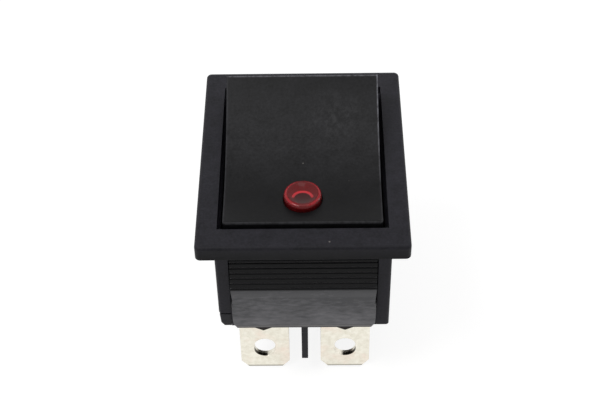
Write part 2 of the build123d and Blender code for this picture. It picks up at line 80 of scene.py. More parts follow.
def times(tree, first, *others):
    for other in others:
        first = maths(tree, "MULTIPLY", first, other)
    return first


def spread(tree, value, low, high, toLow=0.0, toHigh=1.0, soft=False):
    # moves a value from one range to another and holds it there
    node = add(tree, "ShaderNodeMapRange", interpolation_type="SMOOTHSTEP" if soft else "LINEAR")
    feed(tree, value, node.inputs["Value"])
    ends = (("From Min", low), ("From Max", high), ("To Min", toLow), ("To Max", toHigh))
    for name, number in ends:
        feed(tree, number, node.inputs[name])
    return node.outputs["Result"]


def around(tree, value, edge, fade, soft=False):
    # 0 to 1 across an edge, which starts and ends at the two distances from it
    return spread(tree, value, edge + fade[0], edge + fade[1], soft=soft)


def blendColour(tree, amount, first, second):
    node = add(tree, "ShaderNodeMix", data_type="RGBA")
    feed(tree, amount, node.inputs["Factor"])
    feed(tree, first, node.inputs[6])
    feed(tree, second, node.inputs[7])
    return node.outputs[2]


def place(tree, stretch=(1, 1, 1), turn=(0, 0, 0), shift=(0, 0, 0)):
    # the object's own coordinates, which are the switch's, in metres
    coords = add(tree, "ShaderNodeTexCoord").outputs["Object"]
    mapping = add(tree, "ShaderNodeMapping")
    tree.links.new(coords, mapping.inputs["Vector"])
    mapping.inputs["Scale"].default_value = stretch
    mapping.inputs["Rotation"].default_value = turn
    mapping.inputs["Location"].default_value = shift
    return mapping.outputs["Vector"]


def axes(tree, vector):
    node = add(tree, "ShaderNodeSeparateXYZ")
    tree.links.new(vector, node.inputs[0])
    return node.outputs["X"], node.outputs["Y"], node.outputs["Z"]


def awayFrom(tree, vector, spot):
    node = add(tree, "ShaderNodeVectorMath", operation="DISTANCE")
    tree.links.new(vector, node.inputs[0])
    node.inputs[1].default_value = spot
    return node.outputs["Value"]


def cloud(tree, vector, size, detail=3.0, rough=0.5):
    # soft noise whose spots are about size across
    node = add(tree, "ShaderNodeTexNoise")
    tree.links.new(vector, node.inputs["Vector"])
    node.inputs["Scale"].default_value = 1 / size
    node.inputs["Detail"].default_value = detail
    node.inputs["Roughness"].default_value = rough
    return node.outputs["Fac"]


def speck(tree, colour, fleck, dust):
    # one fleck of dust: where it lies and how wide it is
    away = awayFrom(tree, place(tree), fleck[:3])
    return blendColour(tree, spread(tree, away, fleck[3], fleck[3] * 0.5), colour, dust)


def roundedEdges(tree, radius):
    node = add(tree, "ShaderNodeBevel", samples=6)
    node.inputs["Radius"].default_value = radius
    return node.outputs[0]


def relief(tree, shader, height, rounded, depth, distance):
    bump = add(tree, "ShaderNodeBump")
    bump.inputs["Strength"].default_value = depth
    bump.inputs["Distance"].default_value = distance
    tree.links.new(height, bump.inputs["Height"])
    tree.links.new(rounded, bump.inputs["Normal"])
    tree.links.new(bump.outputs[0], shader.inputs["Normal"])


def rgb(red, green, blue):
    # a colour as the eye reads it, 0 to 255, to the linear one that the shader takes
    def linear(value):
        value /= 255
        return value / 12.92 if value <= 0.04045 else ((value + 0.055) / 1.055) ** 2.4
    return (linear(red), linear(green), linear(blue), 1.0)


noiseRange = (0.3, 0.7)          # nearly all of a noise's values lie between these
print("node helpers ready")

# stage: a white floor just under the blade tips, in a white room
stage = {
    "floor": -26.1 * mm,
    "reach": 3.0,
    "shown": 0.84,               # white that the camera sees without any light
    "caught": 0.24,              # colour that keeps the shadow
    "bounce": 0.8,               # colour that throws light back at the switch
    "room": 0.5,                 # light from the room on the switch
}


def seenRays(tree):
    # 1 for what the camera sees, directly, in a reflection or through the lens
    rays = add(tree, "ShaderNodeLightPath").outputs
    seen = maths(tree, "MAXIMUM", rays["Is Camera Ray"], rays["Is Glossy Ray"])
    return maths(tree, "MAXIMUM", seen, rays["Is Transmission Ray"])


def whiteFloor():
    material, tree, shader = newMaterial("white_paper")
    tree.nodes.remove(shader)
    seen = seenRays(tree)
    paper = add(tree, "ShaderNodeBsdfDiffuse")
    step = stage["caught"] - stage["bounce"]
    grey = maths(tree, "MULTIPLY_ADD", seen, step, stage["bounce"])
    tree.links.new(grey, paper.inputs["Color"])
    glow = add(tree, "ShaderNodeEmission")
    tree.links.new(times(tree, seen, stage["shown"]), glow.inputs["Strength"])
    both = add(tree, "ShaderNodeAddShader")
    tree.links.new(paper.outputs[0], both.inputs[0])
    tree.links.new(glow.outputs[0], both.inputs[1])
    tree.links.new(both.outputs[0], tree.nodes["Material Output"].inputs["Surface"])
    mesh = bpy.data.meshes.new("floor")
    reach = stage["reach"]
    quarters = ((-1, -1), (1, -1), (1, 1), (-1, 1))
    corners = [(x * reach, y * reach, stage["floor"]) for x, y in quarters]
    mesh.from_pydata(corners, [], [(0, 1, 2, 3)])
    mesh.materials.append(material)
    floor = bpy.data.objects.new("floor", mesh)
    scene.collection.objects.link(floor)


def whiteRoom():
    world = bpy.data.worlds.new("white_room")
    world.use_nodes = True
    scene.world = world
    tree = world.node_tree
    strength = maths(tree, "MULTIPLY_ADD", seenRays(tree), 1 - stage["room"], stage["room"])
    background = tree.nodes["Background"]
    background.inputs["Color"].default_value = (1, 1, 1, 1)
    tree.links.new(strength, background.inputs["Strength"])


# lamps: where they stand, how wide they are, how strong and of what colour
lamps = {
    "top": {
        "at": (0.04, -0.02, 0.53), "size": (0.34, 0.30),
        "watts": 0.4, "colour": (1.0, 0.99, 0.98),
    },
    "right": {
        "at": (0.48, 0.12, 0.19), "size": (0.12, 0.30),
        "watts": 0.24, "colour": (1.0, 1.0, 1.0),
    },
    "back": {
        "at": (0.02, 0.52, 0.09), "size": (0.60, 0.08),
        "watts": 0.38, "colour": (0.93, 0.96, 1.0),
    },
    "left": {
        "at": (-0.22, -0.12, 0.45), "size": (0.24, 0.12),
        "watts": 1.15, "colour": (1.0, 1.0, 1.0),
    },
}


def hangLamp(name, look):
    lamp = bpy.data.lights.new(name + "_lamp", "AREA")
    lamp.shape = "RECTANGLE"
    lamp.size, lamp.size_y = look["size"]
    lamp.energy = look["watts"]
    lamp.color = look["colour"]
    holder = bpy.data.objects.new(name + "_lamp", lamp)
    holder.location = look["at"]
    holder.rotation_euler = (-Vector(look["at"])).to_track_quat("-Z", "Y").to_euler()
    scene.collection.objects.link(holder)


whiteFloor()
whiteRoom()
for lampName, lampLook in lamps.items():
    hangLamp(lampName, lampLook)
print("stage and lamps ready")

# camera: close above the pressed end, looking half down
view = {
    "at": (1.334 * mm, -116.854 * mm, 113.773 * mm),
    "right": (0.99991, 0.00112, -0.01371),
    "up": (0.00877, 0.71587, 0.69818),
    "back": (0.0106, -0.69823, 0.71579),
    "lens": 79.228,
    "sensor": 36.0,
}
camera = bpy.data.cameras.new("camera")
camera.lens = view["lens"]
camera.sensor_width = view["sensor"]
camera.clip_start = 1 * mm
cameraHolder = bpy.data.objects.new("camera", camera)
turned = Matrix((view["right"], view["up"], view["back"])).transposed().to_4x4()
cameraHolder.matrix_world = Matrix.Translation(view["at"]) @ turned
scene.collection.objects.link(cameraHolder)
scene.camera = cameraHolder
print("camera ready")

# black mouldings: what they all share
mouldingLook = {
    "scratchCut": (0.66, 0.72),      # only the strongest of the drawn lines show
    "scratchGloss": -0.08,
    "scratchDepth": -0.6,
    "speckFade": (1.4, 0.6),
    "speckShare": (0.80, 0.86),      # most places for a speck stay empty
    "edgeTurn": (0.995, 0.86),       # how far a rounded edge turns before it takes the wear and painted highlight colour
    "wearPatches": (0.35, 0.7),
    "patchTone": 0.45,
    "mottleTone": 0.55,
    "reliefHeight": 0.02 * mm,
}


def mouldedPlastic(name, look):
    shared = mouldingLook
    material, tree, shader = newMaterial(name)
    still = place(tree)
    grain = cloud(tree, still, look["grainSize"], 2.0, 0.6)
    patches = cloud(tree, still, look["patchSize"], 4.0, 0.6)
    mottle = cloud(tree, still, look["mottleSize"], 3.0, 0.7)
    drawn = cloud(tree, place(tree, look["scratchStretch"]), look["scratchSize"], 2.0, 0.4)
    scratches = spread(tree, drawn, *shared["scratchCut"])
    specks = add(tree, "ShaderNodeTexVoronoi")
    tree.links.new(still, specks.inputs["Vector"])
    specks.inputs["Scale"].default_value = 1 / look["speckGap"]
    wide, narrow = (look["speckSize"] * part for part in shared["speckFade"])
    dust = spread(tree, specks.outputs["Distance"], wide, narrow)
    chosen = spread(tree, axes(tree, specks.outputs["Color"])[0], *shared["speckShare"])
    dust = times(tree, dust, chosen)

    rounded = roundedEdges(tree, look["edgeRadius"])
    meeting = add(tree, "ShaderNodeVectorMath", operation="DOT_PRODUCT")
    tree.links.new(rounded, meeting.inputs[0])
    tree.links.new(add(tree, "ShaderNodeNewGeometry").outputs["Normal"], meeting.inputs[1])
    edge = spread(tree, meeting.outputs["Value"], *shared["edgeTurn"], soft=True)
    # rounded edges: wear together with a painted highlight
    edgeWearAndSheen = times(tree, edge, spread(tree, patches, *shared["wearPatches"]))

    fine = spread(tree, mottle, *noiseRange, 0.0, shared["mottleTone"])
    broad = spread(tree, patches, *noiseRange)
    tone = maths(tree, "MULTIPLY_ADD", broad, shared["patchTone"], fine)
    colour = blendColour(tree, tone, look["colour"], look["paler"])
    layers = (
        (scratches, look["scratchShow"], look["wearAndSheen"]),
        (edgeWearAndSheen, look["edgeShow"], look["wearAndSheen"]),
        (dust, look["speckShow"], look["dust"]),
    )
    for where, show, layer in layers:
        colour = blendColour(tree, times(tree, where, show), colour, layer)
    tree.links.new(colour, shader.inputs["Base Color"])

    rough = spread(tree, patches, *noiseRange, *look["roughness"])
    rough = maths(tree, "MULTIPLY_ADD", scratches, shared["scratchGloss"], rough)
    tree.links.new(rough, shader.inputs["Roughness"])
    shader.inputs["Specular IOR Level"].default_value = look["shine"]
    height = maths(tree, "MULTIPLY_ADD", scratches, shared["scratchDepth"], grain)
    relief(tree, shader, height, rounded, look["grainDepth"], shared["reliefHeight"])
    return material, tree, shader, colour, rough


# housing
housingLook = {
    "colour": rgb(15, 15, 19),
    "paler": rgb(40, 39, 45),
    "mottleSize": 0.3 * mm,
    "speckGap": 2.6 * mm,
    "speckSize": 0.035,
    "speckShow": 0.5,
    "dust": rgb(104, 100, 98),
    "wearAndSheen": rgb(72, 72, 76),
    "grainSize": 0.09 * mm,
    "grainDepth": 0.35,
    "patchSize": 1.8 * mm,
    "scratchSize": 0.16 * mm,
    "scratchStretch": (0.10, 1.0, 1.0),
    "scratchShow": 0.05,
    "edgeRadius": 0.09 * mm,
    "edgeShow": 0.25,
    "roughness": (0.42, 0.56),
    "shine": 0.12,
}
# snap wings: ribs above the crest, with painted shade on the ribs and painted light in the
# grooves, and below it a ramp scuffed by panels, with painted light from the floor towards its
# foot
wingLook = {
    "face": 13.8 * mm,           # from the middle of the switch to the body's end wall
    "faceFade": (0.05 * mm, 0.15 * mm),
    "top": -2.05 * mm,
    "topFade": (0.05 * mm, -0.05 * mm),
    "side": 8.8 * mm,
    "sideFade": (0.0, -0.03 * mm),
    "slope": 0.2375,             # how far the wing leans out for each step down
    "grooveDepth": (0.08 * mm, 0.26 * mm),
    "ribDepth": (0.5 * mm, 0.42 * mm),
    "ribStart": (12.9 * mm, 13.1 * mm),
    "rib": rgb(15, 15, 16),
    "groove": rgb(96, 95, 97),
    "crest": -6.26 * mm,
    "crestFade": (0.1 * mm, -0.15 * mm),
    "foot": -14.0 * mm,
    "scuffed": rgb(122, 121, 124),
    "polished": rgb(82, 82, 84),
    "scuffShow": 0.85,
    "scuffSize": 0.5 * mm,
    "scuffStretch": (0.4, 1, 1),
    "scuffCut": (0.22, 0.78),
    "floorLightGain": (-0.36, 0.17),  # painted light from the floor below: paler at the foot than at the crest
    "broadSize": 5.0 * mm,
    "broadShift": (2.0 * mm, 0, 0),
    "broadCut": (0.35, 0.65),
    "broadGain": (-0.1, 0.1),
    "line": -13.58 * mm,         # a painted highlight line just above the foot, with painted shade below it
    "lineTop": (0.02 * mm, -0.03 * mm),
    "lineBottom": (-0.2 * mm, -0.14 * mm),
    "lineHighlight": rgb(124, 122, 122),
    "lineShadeFade": (0.2 * mm, 0.08 * mm),
    "lineShade": rgb(70, 69, 69),
    "lineShadeShow": 0.6,
    "nibFade": (0.1 * mm, 0.02 * mm),
    "nib": rgb(34, 29, 26),
}
bezelLook = {
    "farEdge": 15.2 * mm,        # painted highlight along the upper rim of the far side
    "farFade": (-0.15 * mm, 0.0),
    "farHeight": (1.1 * mm, 1.3 * mm),
    "farHighlightColour": rgb(92, 96, 100),
    "farShow": 0.6,
    "endFace": (15.1 * mm, 15.3 * mm),
    "endHeight": (1.7 * mm, 0.2 * mm),
    "endShow": (0.3, 1.0),       # painted shade: the upright end faces are darker towards the panel
    "shade": rgb(6, 6, 8),
    "fleck": (3.07 * mm, -14.55 * mm, 2.0 * mm, 0.13 * mm),
}


def ribColours(tree, spot, colour):
    look = wingLook
    across, outward, height = spot
    inward = maths(tree, "SUBTRACT", look["face"], outward)
    drop = maths(tree, "SUBTRACT", look["top"], height)
    depth = maths(tree, "MULTIPLY_ADD", drop, look["slope"], inward)
    ribs = times(
        tree,
        spread(tree, depth, *look["ribDepth"]),
        spread(tree, outward, *look["ribStart"]),
        around(tree, height, look["top"], look["topFade"]),
        around(tree, maths(tree, "ABSOLUTE", across), look["side"], look["sideFade"]),
    )
    # painted shade on the rib tips and painted light in the grooves
    deep = spread(tree, depth, *look["grooveDepth"])
    return blendColour(tree, ribs, colour, blendColour(tree, deep, look["rib"], look["groove"]))


def rampColours(tree, spot, colour):
    look = wingLook
    _, outward, height = spot
    wing = around(tree, outward, look["face"], look["faceFade"])
    ramp = times(tree, wing, around(tree, height, look["crest"], look["crestFade"]))
    dragged = cloud(tree, place(tree, look["scuffStretch"]), look["scuffSize"], 4.0, 0.6)
    broad = cloud(tree, place(tree, shift=look["broadShift"]), look["broadSize"], 2.0, 0.5)
    broad = spread(tree, broad, *look["broadCut"], *look["broadGain"])
    # painted light from the floor: the scuffed ramp grows paler towards the foot
    lower = spread(tree, height, look["crest"], look["foot"], *look["floorLightGain"])
    dragged = maths(tree, "ADD", maths(tree, "ADD", dragged, broad), lower)
    scuffs = spread(tree, dragged, *look["scuffCut"])
    pale = blendColour(tree, scuffs, look["polished"], look["scuffed"])
    colour = blendColour(tree, times(tree, ramp, look["scuffShow"]), colour, pale)
    # painted shade below the line, down to the foot
    under = times(tree, around(tree, height, look["line"], look["lineShadeFade"]), wing)
    under = times(tree, under, look["lineShadeShow"])
    colour = blendColour(tree, under, colour, look["lineShade"])
    # painted highlight along the line
    line = times(
        tree,
        around(tree, height, look["line"], look["lineTop"]),
        around(tree, height, look["line"], look["lineBottom"]),
        wing,
    )
    colour = blendColour(tree, line, colour, look["lineHighlight"])
    nibs = around(tree, height, look["foot"], look["nibFade"])
    return blendColour(tree, nibs, colour, look["nib"])


def bezelColours(tree, spot, colour):
    look = bezelLook
    _, outward, height = spot
    # painted highlight along the far upper rim
    farHighlight = times(
        tree,
        around(tree, axes(tree, place(tree))[1], look["farEdge"], look["farFade"]),
        spread(tree, height, *look["farHeight"]),
        look["farShow"],
    )
    colour = blendColour(tree, farHighlight, colour, look["farHighlightColour"])
    # painted shade on the upright end faces, darker towards the panel
    shaded = times(
        tree,
        spread(tree, outward, *look["endFace"]),
        spread(tree, height, *look["endHeight"], *look["endShow"]),
    )
    colour = blendColour(tree, shaded, colour, look["shade"])
    return speck(tree, colour, look["fleck"], housingLook["dust"])


def housingPlastic():
    material, tree, shader, colour, _ = mouldedPlastic("black_housing_nylon", housingLook)
    across, outward, height = axes(tree, place(tree))
    spot = across, maths(tree, "ABSOLUTE", outward), height
    for colours in (ribColours, rampColours, bezelColours):
        colour = colours(tree, spot, colour)
    tree.links.new(colour, shader.inputs["Base Color"])
    return material


# base
baseLook = dict(housingLook, colour=rgb(32, 32, 35), paler=rgb(42, 42, 45), grainDepth=0.5)

# rocker, in its own level frame with the pivot at the origin
rockerShape = {
    "pivotDepth": 2.05 * mm,
    "halfTravel": radians(14),
    "halfWidth": 9.35 * mm,
    "halfLength": 10.4514 * mm,
    "dishFloor": 5.23 * mm,
    "dishRadius": 28.306 * mm,
    "lensPosition": 6.5314 * mm,
}
rockerLook = {
    "colour": rgb(10, 10, 11),
    "paler": rgb(41, 41, 43),
    "mottleSize": 0.34 * mm,
    "speckGap": 2.9 * mm,
    "speckSize": 0.03,
    "speckShow": 0.55,
    "dust": rgb(104, 100, 98),
    "wearAndSheen": rgb(76, 76, 80),
    "grainSize": 0.14 * mm,
    "grainDepth": 0.3,
    "patchSize": 2.6 * mm,
    "scratchSize": 0.2 * mm,
    "scratchStretch": (0.15, 1.0, 1.0),
    "scratchShow": 0.04,
    "edgeRadius": 0.05 * mm,
    "edgeShow": 0.2,
    "roughness": (0.36, 0.48),
    "shine": 0.12,
    "pressedAlong": (1.0 * mm, -6.0 * mm),
    "pressedShade": 0.75,        # painted shade: the pressed end is a little darker
    "raisedAlong": (4.0 * mm, 9.0 * mm),
    "raisedShade": 0.35,
    "shade": rgb(6, 6, 7),
    "fleck": (0.05 * mm, -2.39 * mm, 2.77 * mm, 0.12 * mm),
    "fleckColour": rgb(86, 84, 82),
}
# finger marks on the right of the raised half
smudgeLook = {
    "middle": (4.0 * mm, 4.6 * mm, 2.6 * mm),
    "reach": (6.0 * mm, 0.5 * mm),
    "size": 0.9 * mm,
    "stretch": (1.0, 0.6, 1.0),
    "cut": (0.42, 0.68),
    "colour": rgb(66, 66, 68),
    "show": 0.5,
}
# the sharp rim of the dished top, rubbed bright, with a painted highlight strongest on the right
# edge and at the far end
rimLook = {
    "width": 0.22 * mm,
    "below": 0.1 * mm,
    "colour": rgb(112, 112, 118),
    "show": 0.10,
    "showRight": 0.85,           # painted highlight: the right edge shows more, most of all at its raised end
    "rightFrom": (0.0, 1.0 * mm),
    "rightAlong": (-5.0 * mm, 8.0 * mm),
    "showFar": 0.5,
    "farFrom": (0.0, 1.0 * mm),
    "nickSize": 0.5 * mm,
    "nickStretch": (1, 0.35, 1),
    "nickCut": (0.36, 0.58),
    "nickShow": (0.25, 1.0),
    "gloss": -0.12,
}


def rockerRim(tree, side, along, height):
    # where the rim is, and how strongly it shows there
    look, shape = rimLook, rockerShape
    fade = -look["width"], -look["width"] / 2
    edge = around(tree, maths(tree, "ABSOLUTE", side), shape["halfWidth"], fade)
    end = around(tree, maths(tree, "ABSOLUTE", along), shape["halfLength"], fade)
    dish = times(tree, maths(tree, "POWER", along, 2.0), 1 / (2 * shape["dishRadius"]))
    depth = maths(tree, "SUBTRACT", maths(tree, "SUBTRACT", height, shape["dishFloor"]), dish)
    upper = spread(tree, depth, fade[0] - look["below"], fade[1])
    nicks = cloud(tree, place(tree, look["nickStretch"]), look["nickSize"], 3.0, 0.7)
    nicks = spread(tree, nicks, *look["nickCut"], *look["nickShow"])
    rim = times(tree, maths(tree, "MAXIMUM", edge, end), upper, nicks)
    rightHighlight = times(
        tree,
        spread(tree, side, *look["rightFrom"]),
        spread(tree, along, *look["rightAlong"]),
        edge,
    )
    show = maths(tree, "MULTIPLY_ADD", rightHighlight, look["showRight"], look["show"])
    farEndHighlight = times(tree, end, spread(tree, along, *look["farFrom"]))
    return rim, maths(tree, "MULTIPLY_ADD", farEndHighlight, look["showFar"], show)


def fingerMarks(tree, colour):
    look = smudgeLook
    prints = cloud(tree, place(tree, look["stretch"]), look["size"], 5.0, 0.8)
    prints = spread(tree, prints, *look["cut"], soft=True)
    near = spread(tree, awayFrom(tree, place(tree), look["middle"]), *look["reach"], soft=True)
    return blendColour(tree, times(tree, prints, near, look["show"]), colour, look["colour"])


def rockerPlastic():
    material, tree, shader, colour, rough = mouldedPlastic("black_rocker_satin", rockerLook)
    look, shape = rockerLook, rockerShape
    lean = -shape["halfTravel"]
    lift = Matrix.Rotation(lean, 3, "X") @ Vector((0, 0, shape["pivotDepth"]))
    side, along, height = axes(tree, place(tree, turn=(lean, 0, 0), shift=lift))
    rim, show = rockerRim(tree, side, along, height)
    # painted shade towards the pressed end and towards the raised end
    for end in ("pressed", "raised"):
        shaded = spread(tree, along, *look[end + "Along"], 0.0, look[end + "Shade"])
        colour = blendColour(tree, shaded, colour, look["shade"])
    colour = fingerMarks(tree, colour)
    colour = speck(tree, colour, look["fleck"], look["fleckColour"])
    # rubbed rim with a painted highlight
    colour = blendColour(tree, times(tree, rim, show), colour, rimLook["colour"])
    tree.links.new(colour, shader.inputs["Base Color"])
    rough = maths(tree, "MULTIPLY_ADD", rim, rimLook["gloss"], rough)
    tree.links.new(rough, shader.inputs["Roughness"])
    return material


# metals
metalLook = {
    "stainCut": (0.35, 0.75),
    "blushSize": 3.2 * mm,
    "blushShift": (3.1 * mm, 0, 0),
    "blushCut": (0.5, 0.72),
    "reliefHeight": 0.01 * mm,
}
bladeLook = {
    "colour": (0.90, 0.87, 0.77, 1.0),
    "stained": (0.72, 0.68, 0.57, 1.0),
    "blush": (0.86, 0.68, 0.58, 1.0),
    "blushShow": 0.5,
    "spotSize": 0.7 * mm,
    "lineSize": 0.12 * mm,
    "drawn": (1.0, 1.0, 0.15),
    "roughness": (0.28, 0.42),
    "lineDepth": 0.25,
    "edgeRadius": 0.07 * mm,
}


def platedMetal(name, look):
    shared = metalLook
    material, tree, shader = newMaterial(name)
    spots = cloud(tree, place(tree), look["spotSize"], 5.0, 0.65)
    lines = cloud(tree, place(tree, look["drawn"]), look["lineSize"], 3.0, 0.5)
    stain = spread(tree, spots, *shared["stainCut"])
    colour = blendColour(tree, stain, look["colour"], look["stained"])
    blush = cloud(tree, place(tree, shift=shared["blushShift"]), shared["blushSize"], 3.0, 0.6)
    blush = spread(tree, blush, *shared["blushCut"], 0.0, look["blushShow"])
    colour = blendColour(tree, blush, colour, look["blush"])
    tree.links.new(colour, shader.inputs["Base Color"])
    shader.inputs["Metallic"].default_value = 1.0
    rough = spread(tree, lines, *noiseRange, *look["roughness"])
    tree.links.new(rough, shader.inputs["Roughness"])
    rounded = roundedEdges(tree, look["edgeRadius"])
    relief(tree, shader, lines, rounded, look["lineDepth"], shared["reliefHeight"])
    return material, tree, shader, colour


# blades: painted shade on one side of each punched hole's wall, and painted shade along the tips
tabShape = {
    "poles": 5.175 * mm,         # from the middle of the switch to each pole
    "hole": -21.95 * mm,
    "holeHalf": 1.35 * mm,
    "holeStraight": 0.4 * mm,
    "tip": -26.1 * mm,
}
tabLook = {
    "wallFade": (0.05 * mm, 0.02 * mm),
    "shadeAcross": (-0.35 * mm, -0.2 * mm),
    "shadeRise": (0.1 * mm, -0.1 * mm),
    "filmAlong": (-10.56 * mm, -10.68 * mm),
    "film": (0.07, 0.058, 0.045, 1.0),
    "tipFade": (0.54 * mm, 0.34 * mm),
    "tipShade": (0.38, 0.36, 0.31, 1.0),
}


def bladeMetal():
    look, shape = tabLook, tabShape
    material, tree, shader, colour = platedMetal("plated_brass", bladeLook)
    across, along, height = axes(tree, place(tree))
    across = maths(tree, "SUBTRACT", maths(tree, "ABSOLUTE", across), shape["poles"])
    rise = maths(tree, "SUBTRACT", height, shape["hole"])
    past = maths(tree, "SUBTRACT", maths(tree, "ABSOLUTE", rise), shape["holeStraight"])
    past = maths(tree, "MAXIMUM", past, 0.0)
    squares = maths(tree, "ADD", times(tree, past, past), times(tree, across, across))
    wall = around(tree, maths(tree, "SQRT", squares), shape["holeHalf"], look["wallFade"])
    # painted shade on the outer lower side of each hole's wall
    film = times(
        tree,
        wall,
        spread(tree, across, *look["shadeAcross"]),
        spread(tree, rise, *look["shadeRise"]),
        spread(tree, along, *look["filmAlong"]),
    )
    # painted shade along the tips
    tips = around(tree, height, shape["tip"], look["tipFade"])
    colour = blendColour(tree, tips, colour, look["tipShade"])
    colour = blendColour(tree, film, colour, look["film"])
    tree.links.new(colour, shader.inputs["Base Color"])
    return material


# the other metals differ from the blades in colour, and have no blush
otherMetals = {
    "lever_copper": ("lever_alloy", (0.78, 0.42, 0.25, 1.0), (0.58, 0.30, 0.18, 1.0)),
    "plunger_brass": ("turned_brass", (0.80, 0.60, 0.28, 1.0), (0.66, 0.48, 0.22, 1.0)),
    "contact_silver": ("contact_face", (0.88, 0.87, 0.84, 1.0), (0.72, 0.69, 0.62, 1.0)),
    "spring_steel": ("drawn_steel", (0.56, 0.56, 0.57, 1.0), (0.44, 0.44, 0.45, 1.0)),
    "tinned_wire": ("tinned_copper", (0.74, 0.74, 0.73, 1.0), (0.60, 0.60, 0.58, 1.0)),
}


def otherMetal(name, clean, stained):
    return platedMetal(name, dict(bladeLook, blushShow=0.0, colour=clean, stained=stained))[0]


# resistor and neon lamp
ceramicLook = {
    "colour": rgb(196, 178, 140),
    "dust": rgb(168, 148, 112),
    "speckleSize": 0.2 * mm,
    "roughness": (0.45, 0.65),
}
glassLook = {
    "colour": (1.0, 0.93, 0.86, 1.0),
    "smearSize": 0.8 * mm,
    "roughness": (0.02, 0.08),
    "bending": 1.47,
}


def resistorCeramic():
    look = ceramicLook
    material, tree, shader = newMaterial("resistor_glaze")
    speckle = cloud(tree, place(tree), look["speckleSize"], 4.0, 0.6)
    colour = blendColour(tree, speckle, look["colour"], look["dust"])
    tree.links.new(colour, shader.inputs["Base Color"])
    rough = spread(tree, speckle, *noiseRange, *look["roughness"])
    tree.links.new(rough, shader.inputs["Roughness"])
    return material


def lampGlass():
    look = glassLook
    material, tree, shader = newMaterial("neon_glass")
    smear = cloud(tree, place(tree), look["smearSize"], 3.0, 0.6)
    shader.inputs["Base Color"].default_value = look["colour"]
    shader.inputs["Transmission Weight"].default_value = 1.0
    shader.inputs["IOR"].default_value = look["bending"]
    rough = spread(tree, smear, *noiseRange, *look["roughness"])
    tree.links.new(rough, shader.inputs["Roughness"])
    return material


# lens cap: heights are above the rocker's top
lensShape = {
    "radius": 2.27 * mm,
    "flange": 2.77 * mm,
    "wall": 0.5 * mm,            # stands upright out of the rocker
    "round": 0.5 * mm,
    "hollow": 0.28 * mm,
    "shoulder": -1.58 * mm,
    "foot": -2.13 * mm,
    "recessRadius": 1.5 * mm,
    "recessTaper": 0.06 * mm,
    "recessCut": 0.15 * mm,
    "recessRoof": -0.18 * mm,
    "cut": 0.05 * mm,            # small cut of the flange's corners
    "turns": 128,
    "arcSteps": 16,
}
# painted light and shade: the bright ring, arc and dark bowl that a lit cap of this shape shows
lensLook = {
    "colour": (0.27, 0.007, 0.010, 1.0),
    "wallColour": (0.12, 0.004, 0.006, 1.0),
    "wallFade": (-0.2 * mm, 0.15 * mm),
    "crown": (0.80, 0.035, 0.050, 1.0),
    "crownRadius": (1.80 * mm, 2.08 * mm),
    "crownInside": (0.0, 0.16 * mm),
    "crownOutside": (0.1 * mm, 0.0),
    "crownAcross": (0.2 * mm, 1.2 * mm),
    "crownShow": (0.1, 0.85),
    "core": (0.085, 0.006, 0.006, 1.0),
    "coreCentre": (0.0, -0.70 * mm, 0.0),
    "coreRadius": 0.98 * mm,
    "coreFade": (0.08 * mm, -0.08 * mm),
    "bowlFade": (0.0, -0.2 * mm),
    "bowlAlong": (0.2 * mm, -0.2 * mm),
    "bowlShow": (0.0, 0.7),
    "arc": (1.0, 0.05, 0.07, 1.0),
    "arcRadius": 1.30 * mm,
    "arcFade": (0.06 * mm, -0.1 * mm),
    "arcAlong": (-0.1 * mm, 0.35 * mm),
    "smearSize": 0.5 * mm,
    "roughness": (0.05, 0.11),
    "clear": 0.62,
    "shine": 0.18,
    "bending": 1.36,
}


def onRocker():
    shape = rockerShape
    lean = shape["lensPosition"] / shape["dishRadius"]
    height = shape["dishFloor"] + shape["dishRadius"] * (1 - cos(lean))
    return (
        Matrix.Translation((0, 0, -shape["pivotDepth"]))
        @ Matrix.Rotation(shape["halfTravel"], 4, "X")
        @ Matrix.Translation((0, -shape["lensPosition"], height))
        @ Matrix.Rotation(-lean, 4, "X")
    )


def finishMesh(name, build):
    bmesh.ops.recalc_face_normals(build, faces=build.faces)
    mesh = bpy.data.meshes.new(name)
    build.to_mesh(mesh)
    build.free()
    mesh.shade_smooth()
    piece = bpy.data.objects.new(name, mesh)
    scene.collection.objects.link(piece)
    return piece


def turnedMesh(name, profile, turns):
    # a turned shape from its half outline; a point on the axis becomes one vertex
    build = bmesh.new()
    ways = [2 * pi * step / turns for step in range(turns)]
    rings = []
    for radius, height in profile:
        if radius == 0:
            rings.append([build.verts.new((0, 0, height))])
        else:
            rings.append([
                build.verts.new((radius * cos(way), radius * sin(way), height)) for way in ways
            ])
    for lower, upper in zip(rings, rings[1:]):
        for step in range(turns):
            following = (step + 1) % turns
            if len(lower) == 1:
                corners = (lower[0], upper[following], upper[step])
            elif len(upper) == 1:
                corners = (lower[step], lower[following], upper[0])
            else:
                corners = (lower[step], lower[following], upper[following], upper[step])
            build.faces.new(corners)
    return finishMesh(name, build)


def arcPoints(centre, radius, start, end, steps):
    angles = [start + (end - start) * step / steps for step in range(steps + 1)]
    return [(centre[0] + radius * cos(way), centre[1] + radius * sin(way)) for way in angles]


def lensOutline():
    shape = lensShape
    crest = shape["radius"] - shape["round"]
    top = shape["wall"] + shape["round"]
    drop = shape["hollow"]
    cut = shape["cut"]
    outline = [
        (0, shape["recessRoof"]),
        (shape["recessRadius"] - shape["recessCut"], shape["recessRoof"]),
        (shape["recessRadius"], shape["recessRoof"] - shape["recessCut"]),
        (shape["recessRadius"] + shape["recessTaper"], shape["foot"]),
        (shape["flange"] - cut, shape["foot"]),
        (shape["flange"], shape["foot"] + cut),
        (shape["flange"], shape["shoulder"] - cut),
        (shape["flange"] - cut, shape["shoulder"]),
        (shape["radius"] + cut, shape["shoulder"]),
        (shape["radius"], shape["shoulder"] + cut),
    ]
    steps = shape["arcSteps"]
    outline += arcPoints((crest, shape["wall"]), shape["round"], 0, pi / 2, steps)
    sphere = (crest**2 + drop**2) / (2 * drop)
    half = asin(crest / sphere)
    dimple = arcPoints((0, top - drop + sphere), sphere, -pi / 2 + half, -pi / 2, steps)
    return outline + dimple[1:-1] + [(0, top - drop)]


